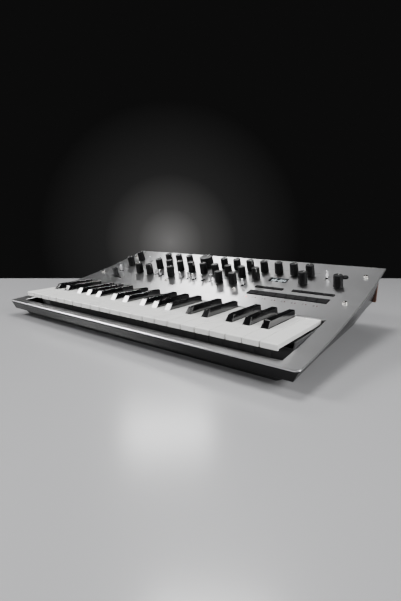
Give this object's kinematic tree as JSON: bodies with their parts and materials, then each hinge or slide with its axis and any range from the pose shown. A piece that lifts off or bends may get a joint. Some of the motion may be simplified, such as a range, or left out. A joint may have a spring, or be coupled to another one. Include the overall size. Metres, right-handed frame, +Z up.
{
  "type": "synthesizer keyboard",
  "caption": "Compact analogue synthesizer with slim hinged piano keys under a swept satin aluminium control panel with knobs, levers, a display and rear sockets.",
  "frame": {"origin": "on the resting surface, at the centre of the panel's outline in plan", "axes": "+X along the keyboard from bass to treble, +Y to the rear panel, +Z up"},
  "size_m": [0.5, 0.3, 0.0908],
  "materials": {
    "panel": "fine blasted satin",
    "case": "satin black",
    "wood": "oiled reddish hardwood",
    "rubber": "matt",
    "keybed": "matt black",
    "steel": "ground",
    "contacts": "matt",
    "board": "green solder mask",
    "screen": "polished black window",
    "button": "soft matt black",
    "knob": "satin black, ribbed",
    "chrome": "polished",
    "white_key": "satin white",
    "black_key": "polished black"
  },
  "bodies": {
    "root": {"top_panel": "panel", "lower_case": "case", "rear_panel": "wood", "front_foot": "rubber", "rear_foot": "rubber", "key_frame": "keybed", "key_pivot_rod": "steel", "key_contact_board": "contacts", "control_board_left": "board", "control_board_right": "board", "button_board": "board", "display_window": "screen", "jack_board": "board"},
    "cutoff_knob": {"cutoff_knob": "knob"},
    "pitch_slider": {"pitch_slider": "knob"},
    "octave_lever": {"octave_lever": "chrome"},
    "mode_toggle": {"mode_toggle": "chrome"},
    "step_button_1": {"step_button_1": "button"},
    "power_switch": {"power_switch": "button"},
    "key_C3": {"key_C3": "white_key"},
    "key_Csharp3": {"key_Csharp3": "black_key"},
    "program_knob": {"program_knob": "knob"},
    "volume_knob": {"volume_knob": "knob"},
    "tempo_knob": {"tempo_knob": "knob"},
    "wave_toggle": {"wave_toggle": "chrome"},
    "key_D3": {"key_D3": "white_key"},
    "key_E3": {"key_E3": "white_key"},
    "key_F3": {"key_F3": "white_key"},
    "key_G3": {"key_G3": "white_key"},
    "key_A3": {"key_A3": "white_key"},
    "key_B3": {"key_B3": "white_key"},
    "key_C4": {"key_C4": "white_key"},
    "key_D4": {"key_D4": "white_key"},
    "key_E4": {"key_E4": "white_key"},
    "key_F4": {"key_F4": "white_key"},
    "key_G4": {"key_G4": "white_key"},
    "key_A4": {"key_A4": "white_key"},
    "key_B4": {"key_B4": "white_key"},
    "key_C5": {"key_C5": "white_key"},
    "key_D5": {"key_D5": "white_key"},
    "key_E5": {"key_E5": "white_key"},
    "key_F5": {"key_F5": "white_key"},
    "key_G5": {"key_G5": "white_key"},
    "key_A5": {"key_A5": "white_key"},
    "key_B5": {"key_B5": "white_key"},
    "key_C6": {"key_C6": "white_key"},
    "key_Dsharp3": {"key_Dsharp3": "black_key"},
    "key_Fsharp3": {"key_Fsharp3": "black_key"},
    "key_Gsharp3": {"key_Gsharp3": "black_key"},
    "key_Asharp3": {"key_Asharp3": "black_key"},
    "key_Csharp4": {"key_Csharp4": "black_key"},
    "key_Dsharp4": {"key_Dsharp4": "black_key"},
    "key_Fsharp4": {"key_Fsharp4": "black_key"},
    "key_Gsharp4": {"key_Gsharp4": "black_key"},
    "key_Asharp4": {"key_Asharp4": "black_key"},
    "key_Csharp5": {"key_Csharp5": "black_key"},
    "key_Dsharp5": {"key_Dsharp5": "black_key"},
    "key_Fsharp5": {"key_Fsharp5": "black_key"},
    "key_Gsharp5": {"key_Gsharp5": "black_key"},
    "key_Asharp5": {"key_Asharp5": "black_key"}
  },
  "joints": [
    {"name": "cutoff_turn", "type": "hinge", "parent": "root", "child": "cutoff_knob", "pos_m": [-0.03525, 0.103, 0.06922], "axis": [0, -0.2743, 0.9617], "range_deg": [-150, 150]},
    {"name": "pitch_slide", "type": "slide", "parent": "root", "child": "pitch_slider", "axis": [0.9744, -0.2199, -0.0472], "range_m": [-0.012, 0.012], "stiffness_N_per_m": 150},
    {"name": "octave_swing", "type": "hinge", "parent": "root", "child": "octave_lever", "pos_m": [-0.2015, 0.04866, 0.04985], "axis": [0, 0.9729, 0.2312], "range_deg": [-12, 12]},
    {"name": "mode_switch", "type": "hinge", "parent": "root", "child": "mode_toggle", "pos_m": [0.1815, 0.10437, 0.06441], "axis": [1, 0, 0], "range_deg": [-12, 12]},
    {"name": "step_1_press", "type": "slide", "parent": "root", "child": "step_button_1", "axis": [0, 0.2155, -0.9765], "range_m": [0, 0.0008], "stiffness_N_per_m": 1200, "springref_m": -0.0004},
    {"name": "power_slide", "type": "slide", "parent": "root", "child": "power_switch", "axis": [1, 0, 0], "range_m": [0, 0.004]},
    {"name": "press_C3", "type": "hinge", "parent": "root", "child": "key_C3", "pos_m": [0, -0.0029, 0.03061], "axis": [1, 0, 0], "range_deg": [0, 3], "stiffness_Nm_per_rad": 0.5, "springref_deg": -3.44},
    {"name": "press_Csharp3", "type": "hinge", "parent": "root", "child": "key_Csharp3", "pos_m": [0, -0.0029, 0.03061], "axis": [1, 0, 0], "range_deg": [0, 3], "stiffness_Nm_per_rad": 0.5, "springref_deg": -3.44},
    {"name": "program_turn", "type": "hinge", "parent": "root", "child": "program_knob", "pos_m": [0.207, 0.0755, 0.06171], "axis": [0, -0.2529, 0.9675], "continuous": true},
    {"name": "volume_turn", "type": "hinge", "parent": "root", "child": "volume_knob", "pos_m": [-0.201, 0.103, 0.06922], "axis": [0, -0.2743, 0.9617], "range_deg": [-150, 150]},
    {"name": "tempo_turn", "type": "hinge", "parent": "root", "child": "tempo_knob", "pos_m": [-0.201, 0.0755, 0.06171], "axis": [0, -0.2529, 0.9675], "range_deg": [-150, 150]},
    {"name": "wave_switch", "type": "hinge", "parent": "root", "child": "wave_toggle", "pos_m": [-0.1755, 0.10437, 0.06441], "axis": [1, 0, 0], "range_deg": [-12, 12]},
    {"name": "press_D3", "type": "hinge", "parent": "root", "child": "key_D3", "pos_m": [0, -0.0029, 0.03061], "axis": [1, 0, 0], "range_deg": [0, 3], "stiffness_Nm_per_rad": 0.5, "springref_deg": -3.44},
    {"name": "press_E3", "type": "hinge", "parent": "root", "child": "key_E3", "pos_m": [0, -0.0029, 0.03061], "axis": [1, 0, 0], "range_deg": [0, 3], "stiffness_Nm_per_rad": 0.5, "springref_deg": -3.44},
    {"name": "press_F3", "type": "hinge", "parent": "root", "child": "key_F3", "pos_m": [0, -0.0029, 0.03061], "axis": [1, 0, 0], "range_deg": [0, 3], "stiffness_Nm_per_rad": 0.5, "springref_deg": -3.44},
    {"name": "press_G3", "type": "hinge", "parent": "root", "child": "key_G3", "pos_m": [0, -0.0029, 0.03061], "axis": [1, 0, 0], "range_deg": [0, 3], "stiffness_Nm_per_rad": 0.5, "springref_deg": -3.44},
    {"name": "press_A3", "type": "hinge", "parent": "root", "child": "key_A3", "pos_m": [0, -0.0029, 0.03061], "axis": [1, 0, 0], "range_deg": [0, 3], "stiffness_Nm_per_rad": 0.5, "springref_deg": -3.44},
    {"name": "press_B3", "type": "hinge", "parent": "root", "child": "key_B3", "pos_m": [0, -0.0029, 0.03061], "axis": [1, 0, 0], "range_deg": [0, 3], "stiffness_Nm_per_rad": 0.5, "springref_deg": -3.44},
    {"name": "press_C4", "type": "hinge", "parent": "root", "child": "key_C4", "pos_m": [0, -0.0029, 0.03061], "axis": [1, 0, 0], "range_deg": [0, 3], "stiffness_Nm_per_rad": 0.5, "springref_deg": -3.44},
    {"name": "press_D4", "type": "hinge", "parent": "root", "child": "key_D4", "pos_m": [0, -0.0029, 0.03061], "axis": [1, 0, 0], "range_deg": [0, 3], "stiffness_Nm_per_rad": 0.5, "springref_deg": -3.44},
    {"name": "press_E4", "type": "hinge", "parent": "root", "child": "key_E4", "pos_m": [0, -0.0029, 0.03061], "axis": [1, 0, 0], "range_deg": [0, 3], "stiffness_Nm_per_rad": 0.5, "springref_deg": -3.44},
    {"name": "press_F4", "type": "hinge", "parent": "root", "child": "key_F4", "pos_m": [0, -0.0029, 0.03061], "axis": [1, 0, 0], "range_deg": [0, 3], "stiffness_Nm_per_rad": 0.5, "springref_deg": -3.44},
    {"name": "press_G4", "type": "hinge", "parent": "root", "child": "key_G4", "pos_m": [0, -0.0029, 0.03061], "axis": [1, 0, 0], "range_deg": [0, 3], "stiffness_Nm_per_rad": 0.5, "springref_deg": -3.44},
    {"name": "press_A4", "type": "hinge", "parent": "root", "child": "key_A4", "pos_m": [0, -0.0029, 0.03061], "axis": [1, 0, 0], "range_deg": [0, 3], "stiffness_Nm_per_rad": 0.5, "springref_deg": -3.44},
    {"name": "press_B4", "type": "hinge", "parent": "root", "child": "key_B4", "pos_m": [0, -0.0029, 0.03061], "axis": [1, 0, 0], "range_deg": [0, 3], "stiffness_Nm_per_rad": 0.5, "springref_deg": -3.44},
    {"name": "press_C5", "type": "hinge", "parent": "root", "child": "key_C5", "pos_m": [0, -0.0029, 0.03061], "axis": [1, 0, 0], "range_deg": [0, 3], "stiffness_Nm_per_rad": 0.5, "springref_deg": -3.44},
    {"name": "press_D5", "type": "hinge", "parent": "root", "child": "key_D5", "pos_m": [0, -0.0029, 0.03061], "axis": [1, 0, 0], "range_deg": [0, 3], "stiffness_Nm_per_rad": 0.5, "springref_deg": -3.44},
    {"name": "press_E5", "type": "hinge", "parent": "root", "child": "key_E5", "pos_m": [0, -0.0029, 0.03061], "axis": [1, 0, 0], "range_deg": [0, 3], "stiffness_Nm_per_rad": 0.5, "springref_deg": -3.44},
    {"name": "press_F5", "type": "hinge", "parent": "root", "child": "key_F5", "pos_m": [0, -0.0029, 0.03061], "axis": [1, 0, 0], "range_deg": [0, 3], "stiffness_Nm_per_rad": 0.5, "springref_deg": -3.44},
    {"name": "press_G5", "type": "hinge", "parent": "root", "child": "key_G5", "pos_m": [0, -0.0029, 0.03061], "axis": [1, 0, 0], "range_deg": [0, 3], "stiffness_Nm_per_rad": 0.5, "springref_deg": -3.44},
    {"name": "press_A5", "type": "hinge", "parent": "root", "child": "key_A5", "pos_m": [0, -0.0029, 0.03061], "axis": [1, 0, 0], "range_deg": [0, 3], "stiffness_Nm_per_rad": 0.5, "springref_deg": -3.44},
    {"name": "press_B5", "type": "hinge", "parent": "root", "child": "key_B5", "pos_m": [0, -0.0029, 0.03061], "axis": [1, 0, 0], "range_deg": [0, 3], "stiffness_Nm_per_rad": 0.5, "springref_deg": -3.44},
    {"name": "press_C6", "type": "hinge", "parent": "root", "child": "key_C6", "pos_m": [0, -0.0029, 0.03061], "axis": [1, 0, 0], "range_deg": [0, 3], "stiffness_Nm_per_rad": 0.5, "springref_deg": -3.44},
    {"name": "press_Dsharp3", "type": "hinge", "parent": "root", "child": "key_Dsharp3", "pos_m": [0, -0.0029, 0.03061], "axis": [1, 0, 0], "range_deg": [0, 3], "stiffness_Nm_per_rad": 0.5, "springref_deg": -3.44},
    {"name": "press_Fsharp3", "type": "hinge", "parent": "root", "child": "key_Fsharp3", "pos_m": [0, -0.0029, 0.03061], "axis": [1, 0, 0], "range_deg": [0, 3], "stiffness_Nm_per_rad": 0.5, "springref_deg": -3.44},
    {"name": "press_Gsharp3", "type": "hinge", "parent": "root", "child": "key_Gsharp3", "pos_m": [0, -0.0029, 0.03061], "axis": [1, 0, 0], "range_deg": [0, 3], "stiffness_Nm_per_rad": 0.5, "springref_deg": -3.44},
    {"name": "press_Asharp3", "type": "hinge", "parent": "root", "child": "key_Asharp3", "pos_m": [0, -0.0029, 0.03061], "axis": [1, 0, 0], "range_deg": [0, 3], "stiffness_Nm_per_rad": 0.5, "springref_deg": -3.44},
    {"name": "press_Csharp4", "type": "hinge", "parent": "root", "child": "key_Csharp4", "pos_m": [0, -0.0029, 0.03061], "axis": [1, 0, 0], "range_deg": [0, 3], "stiffness_Nm_per_rad": 0.5, "springref_deg": -3.44},
    {"name": "press_Dsharp4", "type": "hinge", "parent": "root", "child": "key_Dsharp4", "pos_m": [0, -0.0029, 0.03061], "axis": [1, 0, 0], "range_deg": [0, 3], "stiffness_Nm_per_rad": 0.5, "springref_deg": -3.44},
    {"name": "press_Fsharp4", "type": "hinge", "parent": "root", "child": "key_Fsharp4", "pos_m": [0, -0.0029, 0.03061], "axis": [1, 0, 0], "range_deg": [0, 3], "stiffness_Nm_per_rad": 0.5, "springref_deg": -3.44},
    {"name": "press_Gsharp4", "type": "hinge", "parent": "root", "child": "key_Gsharp4", "pos_m": [0, -0.0029, 0.03061], "axis": [1, 0, 0], "range_deg": [0, 3], "stiffness_Nm_per_rad": 0.5, "springref_deg": -3.44},
    {"name": "press_Asharp4", "type": "hinge", "parent": "root", "child": "key_Asharp4", "pos_m": [0, -0.0029, 0.03061], "axis": [1, 0, 0], "range_deg": [0, 3], "stiffness_Nm_per_rad": 0.5, "springref_deg": -3.44},
    {"name": "press_Csharp5", "type": "hinge", "parent": "root", "child": "key_Csharp5", "pos_m": [0, -0.0029, 0.03061], "axis": [1, 0, 0], "range_deg": [0, 3], "stiffness_Nm_per_rad": 0.5, "springref_deg": -3.44},
    {"name": "press_Dsharp5", "type": "hinge", "parent": "root", "child": "key_Dsharp5", "pos_m": [0, -0.0029, 0.03061], "axis": [1, 0, 0], "range_deg": [0, 3], "stiffness_Nm_per_rad": 0.5, "springref_deg": -3.44},
    {"name": "press_Fsharp5", "type": "hinge", "parent": "root", "child": "key_Fsharp5", "pos_m": [0, -0.0029, 0.03061], "axis": [1, 0, 0], "range_deg": [0, 3], "stiffness_Nm_per_rad": 0.5, "springref_deg": -3.44},
    {"name": "press_Gsharp5", "type": "hinge", "parent": "root", "child": "key_Gsharp5", "pos_m": [0, -0.0029, 0.03061], "axis": [1, 0, 0], "range_deg": [0, 3], "stiffness_Nm_per_rad": 0.5, "springref_deg": -3.44},
    {"name": "press_Asharp5", "type": "hinge", "parent": "root", "child": "key_Asharp5", "pos_m": [0, -0.0029, 0.03061], "axis": [1, 0, 0], "range_deg": [0, 3], "stiffness_Nm_per_rad": 0.5, "springref_deg": -3.44}
  ]
}
